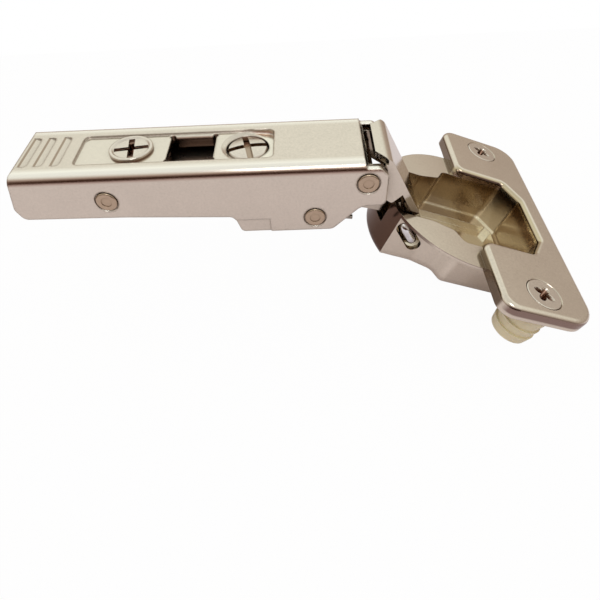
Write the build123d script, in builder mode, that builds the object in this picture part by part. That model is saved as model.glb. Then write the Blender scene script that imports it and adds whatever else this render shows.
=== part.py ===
"""Concealed cup hinge for a cabinet door, standing fully open.

The hinge is a planar four-bar linkage. The inner link and the outer link join the arm, which the
cabinet side carries, to the cup, which sits in a 35 mm hole in the door. Behind the visible outer
arm lies the carrier, which clips to the mounting plate. A spiral cam moves the outer arm along the
carrier and a side screw tilts it about the guide pin.

Frame: +X points from the arm to the cup, +Y across the hinge, +Z away from the cabinet side. The
origin is the middle of the hook pin that hangs the hinge on its mounting plate. Sizes are in mm.
Side-view points are (forward, up) from the top front edge of the arm. Cup points are (forward,
across, out) from the centre of the 35 mm hole at the top of the flange.
"""

import os
from math import acos, atan2, cos, degrees, hypot, pi, radians, sin, sqrt

from build123d import *

# Fits
running_gap = 0.05          # radial, a bore that turns on its pin
fixed_gap = 0.02            # radial, a pin or screw that stays put in its hole
slide_gap = 0.10            # between flat faces that slide or turn past each other

# Frame
arm_front = 19.5            # top front edge of the arm, ahead of the hook pin
arm_top = 11.8              # top of the arm, above the hook pin

# Linkage, side view
opening_angle = 111.0
outer_pivot = (0.26, -4.0)          # outer link rivet in the arm
inner_pivot = (-9.3, -11.05)        # inner link rivet in the arm
screw_line = (30.8, -18.5)          # line of the two cup screws when the hinge is open
screw_line_offset = 9.5             # cup screws ahead of the 35 mm hole's centre
inner_eye = (-13.6, -4.5)           # inner link pin in the cup: forward, out
outer_eye = (-10.0, -7.6)           # outer link pin in the cup

# Outer arm
arm_width = 16.3
arm_sheet = 1.1
arm_length = 62.7                   # top rear edge behind the top front edge
arm_bend = 1.6
wall_rear_reach = 64.4
wall_depth = 9.4
lobe_depth = 14.0
lobe_rear = -23.3
lobe_front = -6.0
lug_front = 3.72
lug_top = -1.1
lug_bottom = -8.8
lug_neck = (-0.7, 3.0)              # where the lug's lower edge leaves the lobe, and its bend
lug_brow = (-0.45, -0.2, 2.3)       # the top edge, the cut to the lug and the lug's upper corner
wall_bow = (-44.8, 40.0)            # shallow bend of the wall's lower edge
flap_front = -17.7                  # the thinned flap behind the inner rivet
flap_top = -11.1
flap_relief = 0.25

# Rivets
rivet_radius = 1.25
rivet_head_radius = 1.92
rivet_head_height = 0.42
rivet_dish_radius = 2.15
rivet_dish_depth = 0.25
rivet_dimple_radius = 0.95
rivet_dimple_depth = 0.12

# Pressed panel, grip grooves and window
panel_rear = -52.2
panel_front = -16.4
panel_width = 9.3
panel_depth = 0.45
panel_front_depth = 1.1
panel_dip_length = 6.6
panel_corner = 1.1
panel_foot = 0.2                    # rounding at the foot of the panel's walls
panel_brow = 0.15                   # and along their top
groove_fronts = (-60.4, -57.6, -54.6)
groove_length = 1.7
groove_width = 9.4
groove_depth = 0.5
groove_corner = 0.8
window_rear = -35.7
window_front = -27.15
window_width = 7.7
window_flange = 0.9
window_flange_depth = 2.6
window_roll = 0.55
window_notch = 0.55

# Depth adjustment: guide pin, carrier slots and spiral cam
guide_pin_place = (-46.9, -5.7)
depth_forward = 3.0                 # travel of the outer arm towards the cup
depth_back = 2.0
cam_place = -42.5
cam_head_radius = 4.02
cam_head_rise = 0.2
cam_head_dish = 0.25
cam_head_rim = 0.55
cam_shank_radius = 2.4
cam_plate_radius = 6.85
cam_plate_thickness = 0.9
cam_pitch = 5.0                     # travel of one whole turn
cam_rest_radius = 2.9
cam_groove_depth = 0.6
peg_radius = 0.55
peg_gap = 0.16
cam_recess_span = 6.2
cam_recess_depth = 1.5              # inside the shank
cam_recess_wall = 0.3
cam_recess_turn = 8.0
recess_arm = 1.1                    # width of a driver recess arm
recess_taper = 10.0                 # slope of a recess arm's walls

# Side adjustment screw
side_screw_place = -21.2
side_screw_radius = 3.7
side_screw_top = -0.85
side_screw_dome = 0.35
side_screw_length = 1.9
side_screw_gap = 0.25
side_screw_collar = 0.95
side_screw_collar_depth = 2.9
side_screw_dish = 0.85              # width of the shallow dish round the screw's hole
side_screw_dish_angle = 120.0
side_screw_recess_turn = 12.0
side_screw_recess_depth = 1.1
neck_radius = 1.7
neck_gap = 0.2
neck_shoulder = 2.6
neck_collar = 0.85

# Carrier
carrier_side_gap = 0.45             # between the carrier's and the arm's walls
carrier_sheet = 1.1
carrier_rear = -61.0
carrier_front = -14.5
carrier_rear_top = -3.1
carrier_front_top = -3.9
carrier_step = -38.3
carrier_step_length = 1.6
carrier_wall_rear = -9.0
carrier_wall_front = -9.6
carrier_waist = -44.0               # shallow waist of the walls' lower edge
hook_pin_radius = 1.5
hook_lobe_radius = 2.9

# Clip lever
lever_pivot = (-56.5, -6.6)
lever_pin_radius = 1.2
lever_side_gap = 0.9                # between the lever and the carrier's walls
lever_boss_radius = 2.2
lever_tail = 5.6
lever_hook = 4.4
spring_pocket_width = 2.2
clip_wire = 0.6
clip_coil_radius = 1.72
clip_turns = 2

# Links
inner_link_width = 6.0
inner_link_boss = 2.4
inner_link_eye = 2.1
inner_link_thickness = 2.8
inner_link_bow = 1.1
outer_link_sheet = 1.2
outer_link_side_gap = 0.35          # between the link's cheeks and the arm's walls
outer_link_eye_width = 11.0
outer_link_boss = 2.3
outer_link_eye = 2.2
web_end = (1.5, 0.2)                # the web's outer face from its top end to the eye
web_crown = (4.2, -0.2)
web_shoulder = (11.0, -13.2)
web_crown_bend = 2.4
web_shoulder_bend = 14.0
web_corner = 2.2
web_taper = (13.6, 16.6)            # the web narrows to the eye between these reaches
cheek_corner = (5.0, -9.6)
cheek_front = (7.2, -7.5)
closing_wire = 0.9
closing_turns = 1
closing_leg = 7.5
closing_arm_leg = 7.6
closing_toe = 2.2

# Cup
cup_radius = 17.5
cup_depth = 12.8
cup_sheet = 1.1
channel_width = 16.8                # the narrow part of the pot that holds the links
channel_front = -8.5
bowl_width = 24.8
bowl_rear = -2.6
bowl_front = 16.0                   # the bowl's flat front, outside
bowl_facet = 17.07                  # from the centre to the facets beside the front, outside
bowl_facet_turn = 33.0
bowl_facet_bend = 2.6
pot_bottom_radius = 2.2
bench_depth = 10.2
bench_width = 15.6
bench_step = 0.8                    # the deep floor's wall inside the bowl's wall
crescent_top = 1.8                  # below the flange top
crescent_sheet = 0.6
flange_rear = 0.1
flange_front = 19.3
flange_margin = 5.25                # from a cup screw to the flange's end
flange_skirt = 2.6
flange_edge_radius = 0.95
mouth_corner = 2.2
flange_rear_corner = 3.0
flange_front_corner = 5.0
nose_cut_width = 9.4
nose_cut_depth = 7.0
screw_spacing = 45.0
screw_head_radius = 3.6
screw_head_height = 1.7
screw_radius = 1.9
screw_length = 9.2
screw_recess_span = 4.5
screw_recess_depth = 1.5
screw_recess_turn = -35.0
dimple_radius = 4.6
dimple_depth = 2.3
dowel_radius = 4.1
dowel_groove = 0.4
dowel_neck = 0.5                    # clear of the flange's skirt
dowel_band = 1.8                    # plain band that centres the dowel in its hole
dowel_rings = 3
dowel_bottom = 10.2
staple_radius = 1.15
staple_bend = 1.3
staple_slot_gap = 0.3

# Derived places
cup_tilt = radians(90.0 - opening_angle)
forward = Vector(cos(cup_tilt), 0, sin(cup_tilt))
outward = Vector(-sin(cup_tilt), 0, cos(cup_tilt))
screws_middle = Vector(arm_front + screw_line[0], 0, arm_top + screw_line[1])
cup_centre = screws_middle - forward * screw_line_offset
arm_inside = arm_width / 2 - arm_sheet
carrier_width = 2 * (arm_inside - carrier_side_gap)
outer_link_width = 2 * (arm_inside - outer_link_side_gap)
flange_length = screw_spacing + 2 * flange_margin
carrier_inside = carrier_width / 2 - carrier_sheet
lever_width = 2 * (carrier_inside - lever_side_gap)


def side(across=0.0):
    """Side-view plane of the arm at y = across; extruding goes towards -Y."""
    return Plane(origin=(arm_front, across, arm_top), x_dir=(1, 0, 0), z_dir=(0, -1, 0))


def top(height=0.0):
    """Plan plane of the arm, height above its top face."""
    return Plane(origin=(arm_front, 0, arm_top + height), x_dir=(1, 0, 0), z_dir=(0, 0, 1))


def section(ahead=0.0):
    """Cross-section plane of the arm, ahead of its top front edge; extruding goes forward."""
    return Plane(origin=(arm_front + ahead, 0, arm_top), x_dir=(0, 1, 0), z_dir=(1, 0, 0))


def cup_side(across=0.0):
    """Side-view plane of the cup at y = across: local x forward, local y out of the pot."""
    origin = cup_centre + Vector(0, across, 0)
    return Plane(origin=origin, x_dir=forward, z_dir=(0, -1, 0))


def cup_top(out=0.0):
    """Plan plane of the cup, out from the flange top."""
    return Plane(origin=cup_centre + outward * out, x_dir=forward, z_dir=outward)


def in_cup(point):
    """A point of the open hinge in the cup's own frame."""
    return cup_top().to_local_coords(point)


def upright(place):
    """Vertical axis at a distance ahead of the arm's top front edge."""
    return Axis((arm_front + place, 0, arm_top), (0, 0, 1))


def outline(*corners):
    """Closed face through (x, y, corner radius) corners."""
    points = [(x, y) for x, y, _ in corners]
    with BuildLine() as edge:
        FilletPolyline(*points, radius=[radius for _, _, radius in corners], close=True)
    make_face(edge.edges())


def box_outline(left, bottom, right, top_edge, radius=0.0):
    """Rectangle between two corners."""
    outline(
        (left, bottom, radius), (right, bottom, radius), (right, top_edge, radius), (left, top_edge, radius)
    )


def cross_recess(place, span, turn):
    """Plan of a crossed driver recess."""
    with Locations(Location((*place, 0), (0, 0, turn))):
        Rectangle(span, recess_arm)
        Rectangle(recess_arm, span)


def folded_sheet(half, depth, sheet, bend):
    """Section of a sheet folded down at both sides, with its top at zero."""
    inside = half - sheet
    outline((-half, -depth, 0), (half, -depth, 0), (half, 0, bend), (-half, 0, bend))
    with BuildLine() as hollow:
        FilletPolyline(
            (-inside, -depth), (-inside, -sheet), (inside, -sheet), (inside, -depth), radius=bend - sheet
        )
        Line((inside, -depth), (-inside, -depth))
    make_face(hollow.edges(), mode=Mode.SUBTRACT)


# Linkage: the closed pose follows from the link lengths


def in_arm(point, centre, tilt):
    """Side-view place of a cup point when the cup stands at centre with its flange at tilt."""
    x, y = point
    return (centre[0] + x * cos(tilt) - y * sin(tilt), centre[1] + x * sin(tilt) + y * cos(tilt))


def direction(start, end):
    """Angle of the line from start to end."""
    return atan2(end[1] - start[1], end[0] - start[0])


open_centre = (
    screw_line[0] - screw_line_offset * cos(cup_tilt),
    screw_line[1] - screw_line_offset * sin(cup_tilt),
)
inner_eye_open = in_arm(inner_eye, open_centre, cup_tilt)
outer_eye_open = in_arm(outer_eye, open_centre, cup_tilt)
inner_link_length = hypot(inner_eye_open[0] - inner_pivot[0], inner_eye_open[1] - inner_pivot[1])
outer_link_length = hypot(outer_eye_open[0] - outer_pivot[0], outer_eye_open[1] - outer_pivot[1])

closed_tilt = radians(90.0)
eye_step = in_arm((outer_eye[0] - inner_eye[0], outer_eye[1] - inner_eye[1]), (0, 0), closed_tilt)
crossing = (outer_pivot[0] - eye_step[0], outer_pivot[1] - eye_step[1])
span = hypot(crossing[0] - inner_pivot[0], crossing[1] - inner_pivot[1])
reach = acos((inner_link_length**2 + span**2 - outer_link_length**2) / (2 * inner_link_length * span))
inner_closed = direction(inner_pivot, crossing) - reach
inner_eye_closed = in_arm((inner_link_length, 0), inner_pivot, inner_closed)
outer_eye_closed = (inner_eye_closed[0] + eye_step[0], inner_eye_closed[1] + eye_step[1])

inner_open = direction(inner_pivot, inner_eye_open)
outer_open = direction(outer_pivot, outer_eye_open)
outer_closed = direction(outer_pivot, outer_eye_closed)


def rivet_in_link(share):
    """Place of the outer rivet in the open outer link after a share of the fold.

    The three joints of the fold turn at constant ratios, so the rivet wanders a little in the
    link's cheeks between the two end poses, where it is exact.
    """
    tilt = cup_tilt + (closed_tilt - cup_tilt) * share
    inner_now = inner_open + (inner_closed - inner_open) * share
    turned = (outer_closed - outer_open) * share
    eye = in_arm((inner_link_length, 0), inner_pivot, inner_now)
    step = in_arm((outer_eye[0] - inner_eye[0], outer_eye[1] - inner_eye[1]), (0, 0), tilt)
    from_eye = (outer_pivot[0] - eye[0] - step[0], outer_pivot[1] - eye[1] - step[1])
    return in_arm(from_eye, outer_eye_open, -turned)


wander_steps = 24
wander = [rivet_in_link(step / wander_steps) for step in range(wander_steps + 1)]
wander_left = min(x for x, _ in wander) - outer_pivot[0]

# Outer arm

with BuildPart() as panel_die:
    with BuildSketch(side()):
        dip = panel_front - panel_dip_length
        outline(
            (panel_rear, arm_sheet, 0),
            (panel_rear, -panel_depth, 0),
            (dip, -panel_depth, 0),
            (panel_front, -panel_front_depth, 0),
            (panel_front, arm_sheet, 0),
        )
    extrude(amount=panel_width / 2, both=True)
    fillet(panel_die.edges().filter_by(Axis.Z), panel_corner)
    floor_edges = [
        edge
        for face in panel_die.faces().sort_by(Axis.Z)[:2]
        for edge in face.edges()
        if abs(edge.center().X - arm_front - dip) > panel_foot
    ]
    fillet(floor_edges, panel_foot)

with BuildPart() as groove_die:
    with BuildSketch(side()):
        outline(
            (-groove_length, 0, 0), (0, -groove_depth, 0), (0, arm_sheet, 0), (-groove_length, arm_sheet, 0)
        )
    extrude(amount=groove_width / 2, both=True)
    fillet(groove_die.edges().filter_by(Axis.Z).group_by(Axis.X)[-1], groove_corner)

with BuildPart() as outer_arm:
    with BuildSketch(side()):
        outline(
            (-arm_length, 0, 0.3),
            (-wall_rear_reach, -wall_depth * 0.72, 1.5),
            (-wall_rear_reach + 0.9, -wall_depth + 0.3, 1.3),
            (wall_bow[0], -wall_depth, wall_bow[1]),
            (lobe_rear - 1.1, -wall_depth - 0.9, 1.3),
            (lobe_rear, -lobe_depth, 0.9),
            (lobe_front, -lobe_depth, 1.6),
            (lug_neck[0], lug_bottom, lug_neck[1]),
            (lug_front, lug_bottom, 1.3),
            (lug_front, lug_top - 1.4, 0.5),
            (lug_brow[2], lug_top, 1.2),
            (lug_brow[1], lug_top, 0.5),
            (lug_brow[0], 0, 0),
        )
    extrude(amount=arm_width / 2, both=True)
    with BuildSketch(section(-arm_length - 5)):
        folded_sheet(arm_width / 2, 2 * lobe_depth, arm_sheet, arm_bend)
    extrude(amount=arm_length + 15, mode=Mode.INTERSECT)
    # the sheet under the pressed panel
    with BuildSketch(side()):
        outline(
            (panel_rear - 0.6, -arm_sheet + 0.2, 0),
            (panel_rear - 0.6, -arm_sheet - panel_depth, 0.3),
            (dip, -arm_sheet - panel_depth, 2.0),
            (panel_front + 0.6, -arm_sheet - panel_front_depth, 0.3),
            (panel_front + 0.6, -arm_sheet + 0.2, 0),
        )
    extrude(amount=panel_width / 2 + 0.6, both=True)
    # drawn collar of the side screw and the window's turned-down edges
    with BuildSketch(top(-side_screw_collar_depth)):
        with Locations((side_screw_place, 0)):
            Circle(side_screw_radius + side_screw_gap + side_screw_collar)
    extrude(amount=side_screw_collar_depth - arm_sheet)
    with BuildSketch(side()):
        box_outline(window_rear + 0.8, -window_flange_depth, window_front - 0.8, -arm_sheet)
    extrude(amount=window_width / 2 + window_flange, both=True)
    add(panel_die.part, mode=Mode.SUBTRACT)
    fillet([edge for edge in outer_arm.edges(Select.NEW) if edge.center().Z > arm_top - 0.01], panel_brow)
    with BuildSketch(top()):
        with Locations(((window_rear + window_front) / 2, 0)):
            Rectangle(window_front - window_rear, window_width)
    extrude(amount=-2 * window_flange_depth, mode=Mode.SUBTRACT)
    window_edges = (
        outer_arm.edges()
        .filter_by(Axis.X)
        .filter_by_position(Axis.Z, arm_top - panel_depth - 0.01, arm_top - panel_depth + 0.01)
        .filter_by_position(Axis.Y, -window_width / 2 - 0.01, window_width / 2 + 0.01)
    )
    fillet(window_edges, window_roll)
    with BuildSketch(top()):
        with Locations(((window_rear + window_front) / 2, 0)):
            with GridLocations(window_front - window_rear - window_notch, window_width, 2, 2):
                Circle(window_notch)
    extrude(amount=-arm_sheet - 2 * panel_depth, mode=Mode.SUBTRACT)
    with Locations(*[(groove, 0, 0) for groove in groove_fronts]):
        add(groove_die.part, mode=Mode.SUBTRACT)
    with Locations((arm_front + side_screw_place, 0, arm_top - panel_depth)):
        CounterSinkHole(
            side_screw_radius + side_screw_gap,
            side_screw_radius + side_screw_gap + side_screw_dish,
            depth=2 * side_screw_collar_depth,
            counter_sink_angle=side_screw_dish_angle,
        )
    with BuildSketch(top()):
        with Locations((cam_place, 0)):
            Circle(cam_shank_radius + running_gap)
    extrude(amount=-2 * arm_sheet - panel_depth, mode=Mode.SUBTRACT)
    with BuildSketch(side(arm_width)):
        with Locations(outer_pivot, inner_pivot):
            Circle(rivet_radius + fixed_gap)
        with Locations(guide_pin_place):
            Circle(rivet_radius + running_gap)
    extrude(amount=2 * arm_width, mode=Mode.SUBTRACT)
    for hand in (1, -1):
        with BuildSketch(side(hand * arm_width / 2)):
            with Locations(outer_pivot, inner_pivot, guide_pin_place):
                Circle(rivet_dish_radius)
        extrude(amount=hand * rivet_dish_depth, mode=Mode.SUBTRACT)
        with BuildSketch(side(hand * arm_width / 2)):
            box_outline(lobe_rear - 3, -lobe_depth - 3, flap_front, flap_top)
        extrude(amount=hand * flap_relief, mode=Mode.SUBTRACT)
outer_arm.part.label = "outer_arm"


# Rivets


def rivet(place, gap):
    """Rivet across the arm's walls, with a low round head in each dish."""
    seat = arm_width / 2 - rivet_dish_depth + gap
    with BuildPart() as body:
        with BuildSketch(side(seat)):
            with Locations(place):
                Circle(rivet_radius)
        extrude(amount=2 * seat)
        for hand in (1, -1):
            with BuildSketch(side(hand * seat)):
                with Locations(place):
                    Circle(rivet_head_radius)
            extrude(amount=-hand * rivet_head_height)
        for end in (-1, 0):
            fillet(body.faces().sort_by(Axis.Y)[end].edges(), rivet_head_height * 0.7)
        for hand in (1, -1):
            with BuildSketch(side(hand * (seat + rivet_head_height))):
                with Locations(place):
                    Circle(rivet_dimple_radius)
            extrude(amount=hand * rivet_dimple_depth, mode=Mode.SUBTRACT)
    return body


outer_link_rivet = rivet(outer_pivot, 0)
outer_link_rivet.part.label = "outer_link_rivet"
inner_link_rivet = rivet(inner_pivot, 0)
inner_link_rivet.part.label = "inner_link_rivet"
guide_pin = rivet(guide_pin_place, fixed_gap)
guide_pin.part.label = "guide_pin"

# Carrier

with BuildPart() as carrier_arm:
    with BuildSketch(side()):
        step_end = carrier_step + carrier_step_length
        outline(
            (carrier_rear, carrier_rear_top, 0.5),
            (carrier_step, carrier_rear_top, 1.0),
            (step_end, carrier_front_top, 1.0),
            (carrier_front, carrier_front_top, 0.5),
            (carrier_front, carrier_wall_front + 1.5, 1.5),
            (-arm_front + hook_lobe_radius, -arm_top, 2.0),
            (-arm_front + hook_lobe_radius * 0.5, -arm_top - hook_lobe_radius, 2.0),
            (-arm_front - hook_lobe_radius * 0.9, -arm_top - hook_lobe_radius * 0.85, 2.0),
            (-arm_front - 2 * hook_lobe_radius, carrier_wall_front, 3.0),
            (carrier_waist, carrier_wall_rear + 0.7, 20),
            (carrier_rear + 0.4, carrier_wall_rear, 1.5),
        )
    extrude(amount=carrier_width / 2, both=True)
    with BuildSketch(side()):
        outline(
            (carrier_rear - 5, -2 * arm_top, 0),
            (carrier_rear - 5, carrier_rear_top - carrier_sheet, 0),
            (carrier_step - 0.3, carrier_rear_top - carrier_sheet, 0.5),
            (step_end - 0.3, carrier_front_top - carrier_sheet, 0.5),
            (carrier_front + 5, carrier_front_top - carrier_sheet, 0),
            (carrier_front + 5, -2 * arm_top, 0),
        )
    extrude(amount=carrier_inside, both=True, mode=Mode.SUBTRACT)
    # the side screw's neck runs in the open slot, the guide pin in the two wall slots
    with BuildSketch(top(carrier_front_top)):
        slot_rear = side_screw_place - depth_back
        slot_half = neck_radius + neck_gap
        with Locations((slot_rear, 0)):
            Circle(slot_half)
        box_outline(slot_rear, -slot_half, carrier_front + 5, slot_half)
    extrude(amount=-2 * carrier_sheet, mode=Mode.SUBTRACT)
    with BuildSketch(side(carrier_width)):
        travel = depth_forward + depth_back
        with Locations((guide_pin_place[0] + (depth_forward - depth_back) / 2, guide_pin_place[1])):
            SlotCenterToCenter(travel + slide_gap, 2 * (rivet_radius + running_gap))
        with Locations((-arm_front, -arm_top)):
            Circle(hook_pin_radius + fixed_gap)
        with Locations(lever_pivot):
            Circle(lever_pin_radius + fixed_gap)
    extrude(amount=2 * carrier_width, mode=Mode.SUBTRACT)
    # peg that the spiral cam turns against
    cam_plate_bottom = -arm_sheet - panel_depth - slide_gap - cam_plate_thickness
    with BuildSketch(top(carrier_rear_top)):
        with Locations((cam_place - cam_rest_radius, 0)):
            Circle(peg_radius)
    extrude(amount=cam_plate_bottom + cam_groove_depth - slide_gap - carrier_rear_top)
carrier_arm.part.label = "carrier_arm"

with BuildPart() as front_hook_pin:
    with BuildSketch(side(carrier_width / 2 + slide_gap)):
        with Locations((-arm_front, -arm_top)):
            Circle(hook_pin_radius)
    extrude(amount=carrier_width + 2 * slide_gap)
    chamfer(front_hook_pin.edges().filter_by(GeomType.CIRCLE), 0.2)
front_hook_pin.part.label = "front_hook_pin"

# Clip lever with its pin and spring

with BuildPart() as clip_lever:
    x, z = lever_pivot
    with BuildSketch(side()):
        with Locations(lever_pivot):
            Circle(lever_boss_radius)
        outline(
            (x - lever_tail, z, 0.4), (x, z + lever_boss_radius * 0.7, 0), (x, z - 1.6, 0),
            (x - lever_tail, z - 1.2, 0.4),
        )
        outline(
            (x - 1.7, z, 0), (x - 1.5, z - 2.6, 1.0), (x - 0.5, z - lever_hook, 0.4),
            (x + 2.1, z - lever_hook + 0.1, 0.3), (x + 2.4, z - lever_hook + 1.0, 0.3),
            (x + 1.0, z - lever_hook + 1.5, 0.5), (x + 1.5, z, 0),
        )
    extrude(amount=lever_width / 2, both=True)
    with BuildSketch(side(lever_width)):
        with Locations(lever_pivot):
            Circle(lever_pin_radius + running_gap)
    extrude(amount=2 * lever_width, mode=Mode.SUBTRACT)
    with BuildSketch(side(lever_width / 2)):
        with Locations(lever_pivot):
            Circle(clip_coil_radius + clip_wire)
    extrude(amount=spring_pocket_width, mode=Mode.SUBTRACT)
clip_lever.part.label = "clip_lever"

with BuildPart() as clip_lever_pin:
    with BuildSketch(side(carrier_width / 2 + slide_gap)):
        with Locations(lever_pivot):
            Circle(lever_pin_radius)
    extrude(amount=carrier_width + 2 * slide_gap)
    chamfer(clip_lever_pin.edges().filter_by(GeomType.CIRCLE), 0.2)
clip_lever_pin.part.label = "clip_lever_pin"


def torsion_spring(centre, start, turns, radius, wire, start_angle, legs, toe=0.0, lefthand=False):
    """Coil round a pin at centre, winding outwards from y = start, with a straight leg at each end.

    The first coil end stands at start_angle in the side view, and each leg leaves its end of the
    coil along the coil's tangent. A toe bends the first leg's end inwards.
    """
    pitch = wire * 1.06
    with BuildPart() as coil:
        with BuildLine():
            helix = Helix(pitch=pitch, height=pitch * turns, radius=radius, lefthand=lefthand)
        with BuildSketch(Plane(origin=helix @ 0, z_dir=helix % 0)):
            Circle(wire / 2)
        sweep(path=helix, is_frenet=True)
        for end, heading, length in ((0, -1, legs[0]), (1, 1, legs[1])):
            tangent = helix % end * heading
            leg_plane = Plane(origin=helix @ end, z_dir=(tangent.X, tangent.Y, 0))
            with BuildSketch(leg_plane):
                Circle(wire / 2)
            extrude(amount=length)
            if toe and end == 0:
                with BuildSketch(Plane(origin=leg_plane.offset(length - wire / 2).origin)):
                    Circle(wire / 2)
                extrude(amount=-toe)
    origin = side(start).from_local_coords((centre[0], centre[1], 0))
    across = Plane(origin=origin, x_dir=polar(start_angle), z_dir=(0, 1, 0))
    return across.location * coil.part


def polar(angle):
    """Unit vector at an angle in the side view."""
    return Vector(cos(radians(angle)), 0, sin(radians(angle)))


# One leg lies on the lever's tail, the other under the carrier's top
clip_tail_heading = 192.0
clip_top_heading = 8.0
clip_spring = torsion_spring(
    lever_pivot,
    lever_width / 2 - spring_pocket_width + clip_wire * 0.7,
    clip_turns + (clip_tail_heading - 180 - clip_top_heading) / 360,
    clip_coil_radius,
    clip_wire,
    clip_tail_heading - 90,
    (4.4, 2.7),
)
clip_spring.label = "clip_spring"

# Adjusting screws


def spiral_point(turn, aside):
    """Point on the cam groove after a turn in degrees, moved aside along the groove's normal."""
    angle = radians(180.0 - turn)
    radius = cam_rest_radius + cam_pitch * turn / 360
    growth = -cam_pitch / (2 * pi)
    along = Vector(
        growth * cos(angle) - radius * sin(angle),
        growth * sin(angle) + radius * cos(angle),
    ).normalized()
    return Vector(radius * cos(angle) - along.Y * aside, radius * sin(angle) + along.X * aside)


with BuildPart() as depth_cam_screw:
    with BuildSketch(side()):
        plate_top = cam_plate_bottom + cam_plate_thickness
        outline(
            (cam_place, cam_plate_bottom, 0),
            (cam_place + cam_plate_radius, cam_plate_bottom, 0),
            (cam_place + cam_plate_radius, plate_top, 0),
            (cam_place + cam_shank_radius, plate_top, 0),
            (cam_place + cam_shank_radius, -panel_depth, 0),
            (cam_place + cam_head_radius, -panel_depth, 0),
            (cam_place + cam_head_radius, cam_head_rise, 0.25),
            (cam_place + cam_head_radius - cam_head_rim, cam_head_rise, 0.1),
            (cam_place + cam_head_radius - cam_head_rim - 0.3, cam_head_rise - cam_head_dish, 0.1),
            (cam_place, cam_head_rise - cam_head_dish, 0),
        )
    revolve(axis=upright(cam_place))
    with BuildSketch(top(cam_head_rise - cam_head_dish)):
        cross_recess((cam_place, 0), cam_recess_span, cam_recess_turn)
    extrude(amount=-0.75 * (cam_head_rise - cam_head_dish + panel_depth), mode=Mode.SUBTRACT)
    with BuildSketch(top(cam_head_rise - cam_head_dish)):
        cross_recess((cam_place, 0), cam_recess_span, cam_recess_turn)
        with Locations((cam_place, 0)):
            Circle(cam_shank_radius - cam_recess_wall, mode=Mode.INTERSECT)
    extrude(amount=-cam_recess_depth, taper=recess_taper, mode=Mode.SUBTRACT)
    groove_plane = Plane(origin=(arm_front + cam_place, 0, arm_top + cam_plate_bottom))
    with BuildSketch(groove_plane):
        first_turn = -360 * depth_back / cam_pitch
        last_turn = 360 * depth_forward / cam_pitch
        groove_half = peg_radius + peg_gap
        turns = [first_turn + (last_turn - first_turn) * step / 14 for step in range(15)]
        with BuildLine():
            outer_edge = Spline(*[spiral_point(turn, -groove_half) for turn in turns])
            inner_edge = Spline(*[spiral_point(turn, groove_half) for turn in turns])
            Line(outer_edge @ 0, inner_edge @ 0)
            Line(outer_edge @ 1, inner_edge @ 1)
        make_face()
        with Locations(spiral_point(first_turn, 0), spiral_point(last_turn, 0)):
            Circle(groove_half)
    extrude(amount=cam_groove_depth, mode=Mode.SUBTRACT)
depth_cam_screw.part.label = "depth_cam_screw"

with BuildPart() as side_adjust_screw:
    with BuildSketch(side()):
        body_bottom = side_screw_top - side_screw_length
        slot_top = carrier_front_top + slide_gap
        slot_bottom = carrier_front_top - carrier_sheet - slide_gap
        with BuildLine():
            crown = (side_screw_place, side_screw_top + side_screw_dome)
            rim = (side_screw_place + side_screw_radius - 0.25, side_screw_top)
            dome = TangentArc(crown, rim, tangent=(1, 0))
            Polyline(
                rim,
                (side_screw_place + side_screw_radius, side_screw_top - 0.25),
                (side_screw_place + side_screw_radius, body_bottom),
                (side_screw_place + neck_shoulder, body_bottom),
                (side_screw_place + neck_shoulder, slot_top),
                (side_screw_place + neck_radius, slot_top),
                (side_screw_place + neck_radius, slot_bottom),
                (side_screw_place + neck_shoulder, slot_bottom),
                (side_screw_place + neck_shoulder, slot_bottom - neck_collar),
                (side_screw_place, slot_bottom - neck_collar),
                crown,
            )
        make_face()
    revolve(axis=upright(side_screw_place))
    with BuildSketch(top(side_screw_top + side_screw_dome)):
        cross_recess((side_screw_place, 0), 2 * side_screw_radius + 1, side_screw_recess_turn)
    extrude(amount=-side_screw_dome - side_screw_recess_depth, mode=Mode.SUBTRACT)
side_adjust_screw.part.label = "side_adjust_screw"

# Links

with BuildPart() as inner_link:
    with BuildSketch(side()):
        middle = (
            (inner_pivot[0] + inner_eye_open[0]) / 2 - sin(inner_open) * inner_link_bow,
            (inner_pivot[1] + inner_eye_open[1]) / 2 + cos(inner_open) * inner_link_bow,
        )
        with BuildLine():
            bow = ThreePointArc(inner_pivot, middle, inner_eye_open)
        trace(bow, line_width=inner_link_thickness)
        with Locations(inner_pivot):
            Circle(inner_link_boss)
        with Locations(inner_eye_open):
            Circle(inner_link_eye)
        with Locations(inner_pivot):
            Circle(rivet_radius + running_gap, mode=Mode.SUBTRACT)
        with Locations(inner_eye_open):
            Circle(staple_radius + running_gap, mode=Mode.SUBTRACT)
    extrude(amount=inner_link_width / 2, both=True)
inner_link.part.label = "inner_link"

# One leg of each closing spring lies along the top of the inner link, the other under the arm's top
closing_link_heading = degrees(inner_open) + 12
closing_arm_heading = 100.0
closing_spring_far = torsion_spring(
    inner_pivot,
    inner_link_width / 2 + closing_wire * 0.6,
    closing_turns + (270 - closing_arm_heading + closing_link_heading) / 360,
    rivet_radius + closing_wire / 2 + running_gap,
    closing_wire,
    closing_link_heading + 90,
    (closing_leg, closing_arm_leg),
    toe=closing_toe,
    lefthand=True,
)
closing_spring_near = mirror(closing_spring_far, about=Plane.XZ)
closing_spring_far.label = "closing_spring_far"
closing_spring_near.label = "closing_spring_near"

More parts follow.
